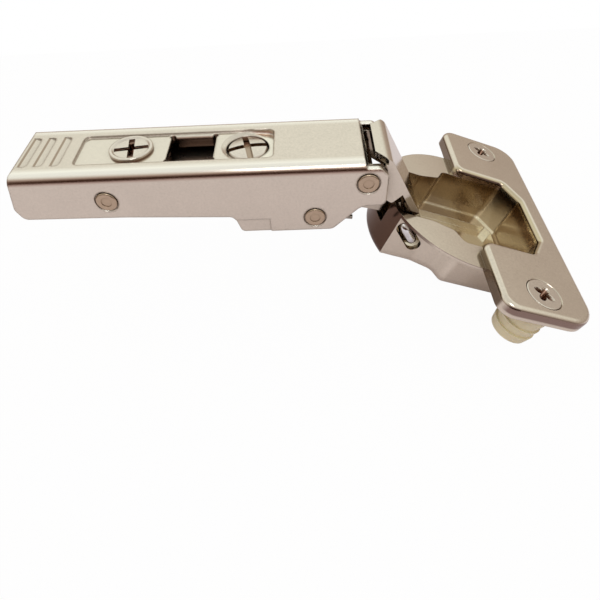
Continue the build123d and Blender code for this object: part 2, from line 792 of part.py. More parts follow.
with BuildPart() as outer_link:
    web_tilt = direction(web_crown, web_shoulder)
    eye_tangent = (outer_eye_open[0] + outer_link_eye * 0.985, outer_eye_open[1] + 0.4)
    with BuildSketch(side()):
        with BuildLine():
            FilletPolyline(web_end, web_crown, web_shoulder, eye_tangent, radius=(web_crown_bend, web_shoulder_bend))
            offset(amount=outer_link_sheet, side=Side.RIGHT)
        make_face()
        with Locations(outer_eye_open):
            Circle(outer_link_eye)
    extrude(amount=outer_link_width / 2, both=True)
    # cheeks inside the arm's walls, kept below the arm's top when the hinge is closed
    with BuildSketch(side()):
        with BuildSketch(mode=Mode.PRIVATE) as rivet_lobe:
            with Locations(*wander[::4]):
                Circle(outer_link_boss)
            make_hull()
        add(rivet_lobe.sketch)
        outline(
            (outer_pivot[0], outer_pivot[1] + outer_link_boss, 0),
            (web_crown[0] - 1.2, outer_pivot[1] + outer_link_boss, 0),
            (web_crown[0] - 0.6, web_crown[1] - 0.6, 0.5),
            (web_crown[0] + 0.3, web_crown[1] - 1.6, 0),
            (cheek_front[0], cheek_front[1], 0.3),
            (cheek_corner[0], cheek_corner[1], 0.5),
            (outer_pivot[0], outer_pivot[1] - outer_link_boss, 0),
        )
        room = -arm_sheet - slide_gap - outer_pivot[1]
        with Locations(Location((*outer_pivot, 0), (0, 0, degrees(outer_open - outer_closed)))):
            with Locations((-arm_width, room + arm_width / 2)):
                Rectangle(2 * arm_width, arm_width, mode=Mode.SUBTRACT)
    extrude(amount=outer_link_width / 2, both=True)
    # the space between the cheeks, behind the web
    with BuildSketch(side()):
        space_rear = outer_pivot[0] + wander_left - 2 * outer_link_boss
        crown_inside = (web_crown[0] - outer_link_sheet * 0.8, web_crown[1] - outer_link_sheet)
        foot_inside = (web_shoulder[0] - outer_link_sheet * 1.1, web_shoulder[1] - 0.2)
        outline(
            (space_rear, crown_inside[1], 0),
            (*crown_inside, 1.2),
            (*foot_inside, 0),
            (space_rear, foot_inside[1], 0),
        )
    extrude(amount=outer_link_width / 2 - outer_link_sheet, both=True, mode=Mode.SUBTRACT)
    # the web's cut corners at its top end and its narrower foot
    web_face = Plane(
        origin=side().from_local_coords((*web_crown, 0)),
        x_dir=(0, 1, 0),
        z_dir=(-sin(web_tilt), 0, cos(web_tilt)),
    )
    with BuildSketch(web_face):
        half = outer_link_width / 2
        eye_half = outer_link_eye_width / 2
        for hand in (1, -1):
            outline(
                (hand * (half + 1), -web_taper[0], 0), (hand * half, -web_taper[0], 0),
                (hand * eye_half, -web_taper[1], 0), (hand * eye_half, -30, 0),
                (hand * (half + 1), -30, 0),
            )
    extrude(amount=3 * outer_link_boss, both=True, mode=Mode.SUBTRACT)
    with BuildSketch(top(web_end[1])):
        for hand in (1, -1):
            outline(
                (web_end[0] - 1, hand * (half - web_corner), 0), (web_end[0], hand * (half - web_corner), 0),
                (web_end[0] + web_corner, hand * half, 0), (web_end[0] + web_corner, hand * (half + 1), 0),
                (web_end[0] - 1, hand * (half + 1), 0),
            )
    extrude(amount=-outer_link_sheet - 0.3, mode=Mode.SUBTRACT)
    with BuildSketch(side(outer_link_width)):
        with Locations(outer_eye_open):
            Circle(staple_radius + running_gap)
        with BuildSketch(mode=Mode.PRIVATE) as rivet_room:
            with Locations(*wander[::2]):
                Circle(rivet_radius + running_gap)
            make_hull()
        add(rivet_room.sketch)
    extrude(amount=2 * outer_link_width, mode=Mode.SUBTRACT)
outer_link.part.label = "outer_link"

# Cup: pot, crescents and flange drawn in one piece


def flange_face(inset):
    """Plan of the flange moved in by inset."""
    rear, front, half = flange_rear + inset, flange_front - inset, flange_length / 2 - inset
    outline(
        (rear, -half, flange_rear_corner - inset),
        (front, -half, flange_front_corner - inset),
        (front, half, flange_front_corner - inset),
        (rear, half, flange_rear_corner - inset),
    )


def mirrored(*half):
    """Outline corners (forward, across, radius) of one half, followed by their mirror images."""
    return half + tuple((x, -y, radius) for x, y, radius in reversed(half))


def pot_plan(inset):
    """Plan of the pot moved in by inset: a channel for the links that widens to the bowl."""
    channel = channel_width / 2 - inset
    bowl = bowl_width / 2 - inset
    with BuildSketch() as plan:
        outline(
            *mirrored(
                (-2 * cup_radius, channel, 0),
                (channel_front, channel, 3.0),
                (bowl_rear - 1.6, channel + 1.2, 1.2),
                (bowl_rear, bowl, 1.6),
                (2 * cup_radius, bowl, 0),
            )
        )
        Circle(cup_radius - inset, mode=Mode.INTERSECT)
        for turn, facet in ((0, bowl_front), (bowl_facet_turn, bowl_facet), (-bowl_facet_turn, bowl_facet)):
            with Locations(Location((0, 0, 0), (0, 0, turn))):
                with Locations((facet - inset + cup_radius, 0)):
                    Rectangle(2 * cup_radius, 4 * cup_radius, mode=Mode.SUBTRACT)
        fillet(plan.vertices().filter_by_position(Axis.X, bowl_front / 2, cup_radius), bowl_facet_bend - inset)
    return plan.sketch


cup_axis = Axis(cup_centre, outward)
screw_places = [(screw_line_offset, hand * screw_spacing / 2) for hand in (-1, 1)]

with BuildPart() as hinge_cup:
    # pot, with the crescents that fill up the door's round hole beside its narrow part
    with BuildSketch(cup_top(-cup_depth)):
        add(pot_plan(0))
    extrude(amount=cup_depth - crescent_top)
    fillet(hinge_cup.faces().sort_by(cup_axis)[0].edges(), pot_bottom_radius)
    with BuildSketch(cup_top(-crescent_top)):
        Circle(cup_radius)
        with Locations((flange_rear + cup_sheet / 2 + cup_radius, 0)):
            Rectangle(2 * cup_radius, 2 * cup_radius, mode=Mode.SUBTRACT)
    extrude(amount=-crescent_sheet)
    # flange, a shallow tray upside down round the pot's wall
    with BuildSketch(cup_top(-flange_skirt)):
        flange_face(0)
    extrude(amount=flange_skirt)
    with BuildSketch(cup_top(-flange_skirt)):
        flange_face(cup_sheet)
        add(pot_plan(0), mode=Mode.SUBTRACT)
    extrude(amount=flange_skirt - cup_sheet, mode=Mode.SUBTRACT)
    # the hollow: a wide upper part, and a deeper floor between two low benches
    with BuildSketch(cup_top(-bench_depth)):
        add(pot_plan(cup_sheet))
    extrude(amount=bench_depth + cup_sheet, mode=Mode.SUBTRACT)
    with BuildSketch(cup_top(-cup_depth + cup_sheet)):
        add(pot_plan(cup_sheet + bench_step))
        Rectangle(3 * cup_radius, bench_width, mode=Mode.INTERSECT)
    extrude(amount=cup_depth - cup_sheet - bench_depth, mode=Mode.SUBTRACT)
    # rounded corners of the mouth, then every edge of the flange top
    mouth_corners = [
        edge
        for edge in hinge_cup.edges().filter_by(cup_axis)
        if abs(in_cup(edge.center()).X - flange_rear) < running_gap
        and abs(in_cup(edge.center()).Y) < bowl_width / 2
        and in_cup(edge.center()).Z > -crescent_top
    ]
    fillet(mouth_corners, mouth_corner)
    fillet(hinge_cup.faces().sort_by(cup_axis)[-1].edges(), flange_edge_radius)
    # countersunk dimples for the screws
    with BuildSketch(cup_top(-dimple_depth)):
        with Locations(*screw_places):
            Circle(dimple_radius)
    extrude(amount=dimple_depth - cup_sheet / 2)
    with Locations(*[cup_top().location * Location((*place, 0)) for place in screw_places]):
        CounterSinkHole(screw_radius + fixed_gap, screw_head_radius + running_gap, depth=cup_depth)
    # cut for the inner link in the nose, then the slot and the holes of the double axle
    with BuildSketch(cup_top(-nose_cut_depth)):
        with Locations((-cup_radius, 0)):
            Rectangle(2 * (cup_radius - inner_link_eye - hypot(*inner_eye) + 1), nose_cut_width)
    extrude(amount=nose_cut_depth, mode=Mode.SUBTRACT)
    axle_step = hypot(outer_eye[0] - inner_eye[0], outer_eye[1] - inner_eye[1])
    axle_middle = ((inner_eye[0] + outer_eye[0]) / 2, (inner_eye[1] + outer_eye[1]) / 2)
    with BuildSketch(cup_side()):
        with Locations(axle_middle):
            SlotCenterToCenter(
                axle_step,
                2 * (staple_radius + staple_slot_gap),
                rotation=degrees(direction(inner_eye, outer_eye)),
            )
    extrude(amount=channel_width, mode=Mode.SUBTRACT)
    with BuildSketch(cup_side()):
        with Locations(inner_eye, outer_eye):
            Circle(staple_radius + fixed_gap)
    extrude(amount=-channel_width, mode=Mode.SUBTRACT)
hinge_cup.part.label = "hinge_cup"

with BuildPart() as cup_axle_staple:
    wall = channel_width / 2
    bridge = -wall + staple_radius
    with BuildLine():
        axle = FilletPolyline(
            cup_side(wall).from_local_coords((*inner_eye, 0)),
            cup_side(bridge).from_local_coords((*inner_eye, 0)),
            cup_side(bridge).from_local_coords((*outer_eye, 0)),
            cup_side(wall).from_local_coords((*outer_eye, 0)),
            radius=staple_bend,
        )
    with BuildSketch(Plane(origin=axle @ 0, z_dir=axle % 0)):
        Circle(staple_radius)
    sweep(path=axle)
cup_axle_staple.part.label = "cup_axle_staple"


def cup_upright(place):
    """Axis out of the pot through a (forward, across) place."""
    return Axis(cup_top().from_local_coords((*place, 0)), outward)


def cup_screw(place):
    """Countersunk wood screw with a crossed recess."""
    ahead, across = place
    with BuildPart() as body:
        with BuildSketch(cup_side(across)):
            outline(
                (ahead, 0, 0),
                (ahead + screw_head_radius, 0, 0),
                (ahead + screw_radius, -screw_head_height, 0),
                (ahead + screw_radius, -screw_length + screw_radius, 0),
                (ahead, -screw_length, 0),
            )
        revolve(axis=cup_upright(place))
        with BuildSketch(cup_top()):
            cross_recess(place, screw_recess_span, screw_recess_turn)
        extrude(amount=-screw_recess_depth, taper=recess_taper, mode=Mode.SUBTRACT)
    return body


def dowel(place):
    """Ringed plastic dowel pressed on under the flange."""
    ahead, across = place
    bore, waist, rim = (
        ahead + reach
        for reach in (screw_radius + fixed_gap, dowel_radius - dowel_groove, dowel_radius)
    )
    band_top = -dimple_depth - dowel_neck
    ring = (dowel_bottom + band_top - dowel_band) / dowel_rings
    with BuildPart() as body:
        with BuildSketch(cup_side(across)):
            with BuildLine():
                profile = [(bore, -dimple_depth), (waist, -dimple_depth), (waist, band_top), (rim, band_top)]
                for count in range(dowel_rings):
                    upper = band_top - dowel_band - count * ring
                    profile.append((rim, upper))
                    profile.append((waist, upper - ring))
                profile.append((bore, -dowel_bottom))
                Polyline(*profile, close=True)
            make_face()
        revolve(axis=cup_upright(place))
    return body


cup_screw_near, cup_screw_far = (cup_screw(place) for place in screw_places)
cup_screw_near.part.label = "cup_screw_near"
cup_screw_far.part.label = "cup_screw_far"
dowel_near, dowel_far = (dowel(place) for place in screw_places)
dowel_near.part.label = "dowel_near"
dowel_far.part.label = "dowel_far"

pieces = [
    carrier_arm.part, front_hook_pin.part, clip_lever.part, clip_lever_pin.part, clip_spring,
    guide_pin.part, outer_arm.part, depth_cam_screw.part, side_adjust_screw.part,
    outer_link_rivet.part, inner_link_rivet.part, closing_spring_near, closing_spring_far,
    inner_link.part, outer_link.part, hinge_cup.part, cup_axle_staple.part,
    cup_screw_near.part, cup_screw_far.part, dowel_near.part, dowel_far.part,
]
os.makedirs("parts", exist_ok=True)
for piece in pieces:
    export_step(piece, f"parts/{piece.label}.step")
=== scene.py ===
"""Finishes, studio and fine detail of a concealed cup hinge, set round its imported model."""

from math import cos, pi, sin

import bmesh
import bpy
from mathutils import Matrix, Vector


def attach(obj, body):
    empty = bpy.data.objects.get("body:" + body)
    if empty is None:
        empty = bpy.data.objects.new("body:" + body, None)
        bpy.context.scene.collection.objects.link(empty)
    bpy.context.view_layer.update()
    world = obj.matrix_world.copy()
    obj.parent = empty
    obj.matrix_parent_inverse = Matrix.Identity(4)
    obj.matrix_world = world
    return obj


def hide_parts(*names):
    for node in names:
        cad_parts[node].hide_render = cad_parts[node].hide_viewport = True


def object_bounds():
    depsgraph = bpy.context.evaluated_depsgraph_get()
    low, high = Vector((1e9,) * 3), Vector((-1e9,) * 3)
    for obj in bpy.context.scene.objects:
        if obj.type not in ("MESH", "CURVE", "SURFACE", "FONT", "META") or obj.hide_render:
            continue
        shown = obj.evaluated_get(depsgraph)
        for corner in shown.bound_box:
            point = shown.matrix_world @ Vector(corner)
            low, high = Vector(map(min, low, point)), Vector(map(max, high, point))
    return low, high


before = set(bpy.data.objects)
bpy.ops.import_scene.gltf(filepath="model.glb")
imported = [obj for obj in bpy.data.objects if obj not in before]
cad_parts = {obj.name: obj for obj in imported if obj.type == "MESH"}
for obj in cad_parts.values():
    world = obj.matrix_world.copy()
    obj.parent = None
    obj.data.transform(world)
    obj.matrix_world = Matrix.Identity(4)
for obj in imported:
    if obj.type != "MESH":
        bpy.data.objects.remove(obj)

bl_info = {
    "name": "Concealed cup hinge looks",
    "version": (1, 0, 0),
    "blender": (4, 5, 0),
    "location": "View3D > Sidebar > Hinge",
    "description": "Dresses the packed cup hinge with plated finishes and a plain studio",
    "category": "Object",
}

MM = 0.001
CAD_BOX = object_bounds()

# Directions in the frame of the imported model: the cup's face looks along its axis, which leans
# forward by the tilt, and the last two are how the grooves' ramps and the links' rear web look

UPRIGHT = (0.0, 0.0, 1.0)
NEARWARD = (0.0, -1.0, 0.0)
FARWARD = (0.0, 1.0, 0.0)
CUP_TILT = 21.0 * pi / 180
CUP_AXIS = (sin(CUP_TILT), 0.0, cos(CUP_TILT))
FORWARD = (cos(CUP_TILT), 0.0, -sin(CUP_TILT))
REARWARD = (-cos(CUP_TILT), 0.0, sin(CUP_TILT))
GROOVE_RAMP = (0.2822, 0.0, 0.9594)
LINK_REAR = (-0.97, 0.0, -0.24)

# Places in millimetres in the same frame, each the middle of a face

CUP_CENTRE = (41.431, 0.0, -3.2955)
POT_REAR = (33.0, 0.0, -0.06)
ARM_TOP = (0.0, 0.0, 11.8)
CAM_FACE = (-23.0, 0.0, 11.75)
SIDE_SCREW_TOP = (-1.7, 0.0, 11.3)

# Depths in millimetres between which the painted shade of a recess sets in, and the bulge of a
# domed
# head: its fall in millimetres at one millimetre from its middle

RECESS_DEPTHS = (0.05, 0.25)
CUP_SCREW_DEPTHS = (0.12, 0.45)
SIDE_SCREW_BULGE = 0.029

# Plating: scales of its clouds, specks and drawn lines, and how far they change brightness and blur

CLOUD_SCALE = 160.0
CLOUD_SHADES = (0.93, 1.04)
CLOUD_BLUR = 0.08
SPECK_SCALE = 2600.0
SPECK_SPAN = (0.3, 0.7)
SPECK_SHADES = (0.955, 1.045)
SPECK_BLUR = 0.02
LINE_SCALE = 300.0
LINE_DEPTH = 0.15
RELIEF = 0.02 * MM

# Painted shade: openness over which a corner clears of it, and cosines to the shaded side over
# which a face takes it

CORNER_SPAN = (0.15, 0.95)
SHADED_SIDE_SPAN = (0.90, 0.98)

# Moulded plastic: scale of its clouds, their darkest shade and blur, its grain, and how light
# spreads under its skin

PLASTIC_SCALE = 500.0
PLASTIC_SHADE = 0.93
PLASTIC_BLUR = (0.28, 0.45)
PLASTIC_GRAIN = 0.1
PLASTIC_GLOW = 0.25
PLASTIC_DEPTHS = (1.5 * MM, 1.2 * MM, 0.8 * MM)

# Cup screws: rings of the head's worn edge as (depth, inset) in chamfers, and the thread's form

SCREW_SIDES = 48
HEAD_CHAMFER = 0.14 * MM
HEAD_RINGS = ((0.0, 2.4), (0.4, 1.3), (1.0, 1.0))
THREAD_STEPS = 10
THREAD_FLANK = 2.6
POINT_RADIUS = 0.08 * MM

# Driver recess: fineness, lobes, how pinched the outline is, and how much narrower its foot is

STAR_SIDES = 64
STAR_LOBES = 4
STAR_POWER = 1.2
STAR_TAPER = 0.5
STAR_CLEAR = 0.3 * MM

# Sky colours against height, 0 at the horizon and 1 straight up

SKY_FRONT = (
    (0.0, (0.07, 0.035, 0.02)), (0.26, (0.10, 0.055, 0.035)), (0.46, (0.66, 0.60, 0.54)),
    (0.62, (0.86, 0.84, 0.79)), (1.0, (0.80, 0.80, 0.76)),
)
SKY_BACK = (
    (0.0, (0.40, 0.31, 0.25)), (0.20, (0.52, 0.43, 0.36)), (0.42, (0.93, 0.94, 0.86)),
    (0.60, (0.96, 0.97, 0.90)), (1.0, (0.80, 0.80, 0.76)),
)
SKY_SIDE = (
    (0.0, (0.46, 0.39, 0.34)), (0.26, (0.56, 0.49, 0.43)), (0.46, (0.86, 0.84, 0.77)),
    (0.62, (0.93, 0.93, 0.87)), (1.0, (0.80, 0.80, 0.76)),
)

# Spans along Y in which the front sky turns into the back one, and along X in which the side one
# takes over from both

SKY_TURN = (-0.35, 0.35)
SKY_ASIDE = (0.42, 0.80)

# Floor: how white it is to the eye, over its own colour, and its blur

WHITE = (1.0, 1.0, 1.0, 1.0)
FLOOR_WHITE = 0.97
FLOOR_BLUR = 0.9

# Width of the camera's sensor in millimetres, on which its lens is meant

SENSOR_WIDTH = 36.0


# Settings that a user would change


def colour(label, text, *tone):
    """Property for an opaque colour."""
    return bpy.props.FloatVectorProperty(
        name=label, description=text, subtype="COLOR", size=4, min=0.0, max=1.0,
        default=(*tone, 1.0),
    )


def length(label, text, value):
    """Property for a length in metres."""
    return bpy.props.FloatProperty(
        name=label, description=text, unit="LENGTH", min=0.0, default=value,
    )


def share(label, text, value):
    """Property for a factor between none and all."""
    return bpy.props.FloatProperty(
        name=label, description=text, subtype="FACTOR", min=0.0, max=1.0, default=value,
    )


def place(label, text, *value):
    """Property for a place, given in millimetres and held in metres."""
    return bpy.props.FloatVectorProperty(
        name=label, description=text, subtype="TRANSLATION", unit="LENGTH", size=3,
        default=[part * MM for part in value],
    )


def direction(label, text, *value):
    """Property for a direction."""
    return bpy.props.FloatVectorProperty(
        name=label, description=text, subtype="DIRECTION", size=3, default=value,
    )


class HingeFinishSettings(bpy.types.PropertyGroup):
    """Colours and gloss of the plated and moulded surfaces."""

    arm_colour: colour("Arm nickel", "Plating of the folded arm", 0.74, 0.675, 0.59)
    # Painted highlight on the panel's top
    panel_highlight_colour: colour("Panel", "Highlight painted on the panel", 0.90, 0.86, 0.755)
    # Painted highlight on the top beside the folds
    fold_highlight_colour: colour("Fold highlight", "Highlight painted beside the arm's folds", 0.96, 0.93, 0.86)
    fold_colour: colour("Fold shade", "Brown that stays under the folds", 0.42, 0.29, 0.235)
    # Painted shade on the grooves' ramps
    groove_shade_colour: colour("Groove shade", "Shade painted along the grip grooves", 0.38, 0.30, 0.23)
    # Painted shade inside the arm
    hollow_shade_colour: colour("Arm inside", "Shade painted inside the arm", 0.20, 0.13, 0.10)
    cup_colour: colour("Cup nickel", "Plating of the drawn cup", 0.74, 0.67, 0.57)
    # Painted shade, olive brown, inside the bowl
    bowl_shade_colour: colour("Bowl", "Olive shade painted inside the cup", 0.49, 0.40, 0.285)
    # Painted shade on the bowl's far wall
    far_side_shade_colour: colour("Bowl side", "Shade painted on the bowl's far side", 0.37, 0.275, 0.19)
    # Painted light on the bowl's floor
    floor_light_colour: colour("Bowl floor", "Light painted on the bowl's floor", 0.88, 0.83, 0.70)
    # Painted shade on the cup's rear wall
    rear_shade_colour: colour("Cup rear", "Shade painted on the cup's rear wall", 0.12, 0.07, 0.05)
    rim_colour: colour("Bowl rim", "Olive tint on the rounded rim", 0.60, 0.52, 0.36)
    shade_colour: colour("Under the rim", "Brown that stays under the rim", 0.20, 0.13, 0.075)
    # Painted dark reflection on the flange's bent ends
    flange_end_reflection_colour: colour("Flange edge", "Dark reflection painted on the flange's bent ends", 0.28, 0.20, 0.17)
    link_colour: colour("Link nickel", "Polished plating of the links", 0.74, 0.68, 0.59)
    pin_colour: colour("Rivet steel", "Rivets and pins", 0.54, 0.42, 0.31)
    axle_colour: colour("Axle steel", "Bright double axle in the cup", 0.84, 0.85, 0.87)
    screw_colour: colour("Screw nickel", "Adjusting and cup screws", 0.76, 0.70, 0.62)
    # Painted shade in driver recesses
    recess_shade_colour: colour("Recess", "Shade painted in driver recesses", 0.20, 0.12, 0.085)
    side_recess_shade: colour("Side screw recess", "Shade painted in its recess", 0.42, 0.33, 0.25)
    inner_colour: colour("Inner plate", "Zinc plated carrier and lever", 0.62, 0.60, 0.56)
    spring_colour: colour("Spring wire", "Drawn spring wire", 0.40, 0.37, 0.33)
    dowel_colour: colour("Dowel plastic", "Ivory plastic of the dowels", 0.79, 0.71, 0.50)
    # Painted shade in corners and on the faces that look a piece's shaded side
    painted_shade_colour: colour("Tarnish", "Shade painted in corners and on the shaded side", 0.13, 0.08, 0.04)
    painted_shade: share("Tarnish amount", "How strong the painted shade is", 0.85)
    roughness: share("Plating roughness", "Blur of the plating before its clouds add to it", 0.11)
    edge_round: length("Edge rounding", "Radius that every sheared edge seems to have", 0.12 * MM)
    fold_round: length("Fold rounding", "Radius that the arm's folds seem to have", 0.55 * MM)


class HingeScrewSettings(bpy.types.PropertyGroup):
    """Sizes of the two cup screws."""

    screw_head: length("Head radius", "Radius of the countersunk head", 3.6 * MM)
    screw_shank: length("Shank radius", "Radius over the thread", 1.9 * MM)
    screw_length: length("Length", "From the head's face to the tip", 9.2 * MM)
    screw_pitch: length("Pitch", "Rise of the thread in one turn", 1.5 * MM)
    screw_thread: length("Thread depth", "From the crest to the root", 0.45 * MM)
    screw_ahead: length("Line ahead", "Screw line ahead of the cup's centre", 9.5 * MM)
    screw_spacing: length("Spacing", "Between the two screws", 45.0 * MM)
    recess_tip: length("Recess tip", "Reach of a lobe of the driver recess", 2.1 * MM)
    recess_waist: length("Recess waist", "Radius between the lobes", 0.85 * MM)
    recess_depth: length("Recess depth", "Depth of the driver recess", 1.4 * MM)
    recess_turn: bpy.props.FloatProperty(
        name="Recess turn", description="Turn of the recess about the screw", subtype="ANGLE",
        default=-35.0 * pi / 180,
    )


class HingeStudioSettings(bpy.types.PropertyGroup):
    """Camera, lamp and floor."""

    camera_place: place("Camera place", "Where the camera stands", 9.35, -79.95, 60.40)
    camera_heading: direction("Camera heading", "Way the camera looks", -0.0270, 0.6533, -0.7566)
    camera_right: direction("Camera right", "Way to its right", 0.99909, -0.00729, -0.04200)
    camera_lens: bpy.props.FloatProperty(
        name="Lens", description="Focal length in millimetres", unit="CAMERA", min=5.0,
        default=29.54,
    )
    lamp_place: place("Lamp place", "Lamp from the middle of the hinge", 20.0, -300.0, 420.0)
    lamp_size: length("Lamp size", "Side of the square lamp", 200.0 * MM)
    lamp_power: bpy.props.FloatProperty(
        name="Lamp power", description="Power of the lamp", unit="POWER", min=0.0, default=0.35,
    )
    floor_drop: length("Floor drop", "Gap between the lowest point and the floor", 2.0 * MM)
    floor_reach: length("Floor reach", "From the floor's middle to its sides", 130.0 * MM)
    floor_colour: colour("Floor", "Pale floor", 0.82, 0.755, 0.80)


# Node helpers, in which an input takes a plain value or another node's socket


def feed(tree, socket, value):
    """Link a socket to an input, or set a plain value on it."""
    if isinstance(value, bpy.types.NodeSocket):
        tree.links.new(value, socket)
    else:
        socket.default_value = value


def add_node(tree, kind, **values):
    """New node with its settings made, and its named inputs set or linked."""
    node = tree.nodes.new(kind)
    for name, value in values.items():
        if name in node.inputs:
            feed(tree, node.inputs[name], value)
        else:
            setattr(node, name, value)
    return node


def worked(tree, kind, operation, values):
    """Outputs of a math node of one kind, with its inputs given in order."""
    node = add_node(tree, kind, operation=operation)
    for socket, value in zip(node.inputs, values):
        feed(tree, socket, value)
    return node.outputs


def number(tree, operation, *values):
    """Number that a math node makes of its inputs."""
    return worked(tree, "ShaderNodeMath", operation, values)["Value"]


def vector(tree, operation, *values):
    """Vector that a vector math node makes of its inputs, or number for a dot product."""
    label = "Value" if operation == "DOT_PRODUCT" else "Vector"
    return worked(tree, "ShaderNodeVectorMath", operation, values)[label]


def mapped(tree, value, span, ends=(0.0, 1.0), smooth=False):
    """Number led from one span to another and held at both ends, in a line or a smooth step."""
    shape = "SMOOTHSTEP" if smooth else "LINEAR"
    node = add_node(tree, "ShaderNodeMapRange", interpolation_type=shape, Value=value)
    for label, limit in zip(("From Min", "From Max", "To Min", "To Max"), (*span, *ends)):
        feed(tree, node.inputs[label], limit)
    return node.outputs["Result"]


def blended(tree, factor, first, second):
    """Colour between two colours."""
    node = add_node(tree, "ShaderNodeMix", data_type="RGBA", Factor=factor, A=first, B=second)
    return node.outputs["Result"]


def coordinate(tree, name):
    """Texture coordinate of a kind."""
    return add_node(tree, "ShaderNodeTexCoord").outputs[name]


def noise(tree, spot=None, **values):
    """Noise over the piece's own coordinates, or over given ones."""
    spot = spot or coordinate(tree, "Object")
    return add_node(tree, "ShaderNodeTexNoise", Vector=spot, **values).outputs["Fac"]


def new_group(name, inputs, outputs, kind="ShaderNodeTree"):
    """Empty node group with (name, socket type, default) inputs and (name, type) outputs."""
    group = bpy.data.node_groups.new(name, kind)
    for label, sort, default in inputs:
        socket = group.interface.new_socket(label, in_out="INPUT", socket_type=sort)
        if default is not None:
            socket.default_value = default
    for label, sort in outputs:
        group.interface.new_socket(label, in_out="OUTPUT", socket_type=sort)
    start = group.nodes.new("NodeGroupInput")
    end = group.nodes.new("NodeGroupOutput")
    return group, start.outputs, end.inputs


def new_material(name):
    """Material with its tree and the inputs of its shader."""
    material = bpy.data.materials.new(name)
    material.use_nodes = True
    tree = material.node_tree
    return material, tree, tree.nodes["Principled BSDF"].inputs


# Shader groups that the finishes share


def plating_group():
    """Cloudy plating: a little variation of colour and gloss, and painted shade in the corners and
    on the shaded side.
    """
    group, given, made = new_group(
        "plated surface",
        [
            ("Colour", "NodeSocketColor", (0.8, 0.8, 0.8, 1.0)),
            ("Tarnish Colour", "NodeSocketColor", (0.2, 0.13, 0.08, 1.0)),
            ("Tarnish", "NodeSocketFloat", 0.5),
            ("Roughness", "NodeSocketFloat", 0.2),
            ("Cloud Scale", "NodeSocketFloat", CLOUD_SCALE),
            ("Corner Reach", "NodeSocketFloat", 4.0 * MM),
            ("Shaded Side", "NodeSocketVector", (0.0, 0.0, 0.0)),
        ],
        [("Colour", "NodeSocketColor"), ("Roughness", "NodeSocketFloat")],
    )
    cloud = noise(group, Scale=given["Cloud Scale"], Detail=4.0, Roughness=0.6)
    speck = noise(group, Scale=SPECK_SCALE, Detail=2.0)
    # Painted shade: brown where the AO node finds a corner closed, and on faces that look the
    # shaded side
    corner = add_node(
        group, "ShaderNodeAmbientOcclusion", samples=8, Distance=given["Corner Reach"],
    )
    closed = mapped(group, corner.outputs["AO"], CORNER_SPAN, (1.0, 0.0))
    turned = vector(group, "DOT_PRODUCT", coordinate(group, "Normal"), given["Shaded Side"])
    shaded_side = mapped(group, turned, SHADED_SIDE_SPAN, smooth=True)
    either = number(group, "MAXIMUM", closed, shaded_side)
    painted_shade_mask = number(group, "MULTIPLY", either, given["Tarnish"])
    tint = blended(group, painted_shade_mask, given["Colour"], given["Tarnish Colour"])
    shade = mapped(group, cloud, (0.0, 1.0), CLOUD_SHADES)
    grain = mapped(group, speck, SPECK_SPAN, SPECK_SHADES)
    mottle = number(group, "MULTIPLY", shade, grain)
    cloudy = add_node(group, "ShaderNodeVectorMath", operation="SCALE", Vector=tint, Scale=mottle)
    feed(group, made["Colour"], cloudy.outputs["Vector"])
    haze = number(group, "MULTIPLY_ADD", cloud, CLOUD_BLUR, given["Roughness"])
    feed(group, made["Roughness"], number(group, "MULTIPLY_ADD", speck, SPECK_BLUR, haze))


def drawn_group():
    """Height of fine lines that rolling and drawing leave along one direction."""
    group, given, made = new_group(
        "drawn lines",
        [
            ("Stretch", "NodeSocketVector", (1.0, 12.0, 12.0)),
            ("Scale", "NodeSocketFloat", LINE_SCALE),
        ],
        [("Height", "NodeSocketFloat")],
    )
    spread = vector(group, "MULTIPLY", coordinate(group, "Object"), given["Stretch"])
    lines = noise(group, spread, Scale=given["Scale"], Detail=3.0, Roughness=0.7)
    feed(group, made["Height"], lines)


def sunk_group():
    """Mask of what lies below a flat or domed face, from none at one depth to all at another."""
    group, given, made = new_group(
        "sunk face",
        [
            ("Centre", "NodeSocketVector", (0.0, 0.0, 0.0)),
            ("Axis", "NodeSocketVector", (0.0, 0.0, 1.0)),
            ("Crown", "NodeSocketFloat", 0.0),
            ("Shallow", "NodeSocketFloat", 0.05 * MM),
            ("Deep", "NodeSocketFloat", 0.25 * MM),
        ],
        [("Mask", "NodeSocketFloat")],
    )
    reach = vector(group, "SUBTRACT", coordinate(group, "Object"), given["Centre"])
    height = vector(group, "DOT_PRODUCT", reach, given["Axis"])
    square = vector(group, "DOT_PRODUCT", reach, reach)
    above = number(group, "MULTIPLY_ADD", square, given["Crown"], height)
    depth = number(group, "MULTIPLY", above, -1.0)
    mask = mapped(group, depth, (given["Shallow"], given["Deep"]), smooth=True)
    feed(group, made["Mask"], mask)


# Zones of a piece: each is a function that builds the zone's mask in a material's tree


def below(centre, axis, shallow, deep, crown=0.0):
    """Zone under a face, from none at the first depth to all at the second, in millimetres."""
    def zone(tree):
        sunk = add_node(
            tree, "ShaderNodeGroup", node_tree=bpy.data.node_groups["sunk face"],
            Centre=Vector(centre) * MM, Axis=axis, Crown=crown / MM,
            Shallow=shallow * MM, Deep=deep * MM,
        )
        return sunk.outputs["Mask"]
    return zone


def looking(way, least, most):
    """Zone of the faces that look a way, from none at the first cosine to all at the second."""
    def zone(tree):
        aim = way(tree) if callable(way) else way
        turned = vector(tree, "DOT_PRODUCT", coordinate(tree, "Normal"), aim)
        return mapped(tree, turned, (least, most))
    return zone


def off_middle(least, most):
    """Zone by its distance from the middle plane, from none to all, in millimetres."""
    def zone(tree):
        parts = add_node(tree, "ShaderNodeSeparateXYZ", Vector=coordinate(tree, "Object"))
        distance = number(tree, "ABSOLUTE", parts.outputs["Y"])
        return mapped(tree, distance, (least * MM, most * MM))
    return zone


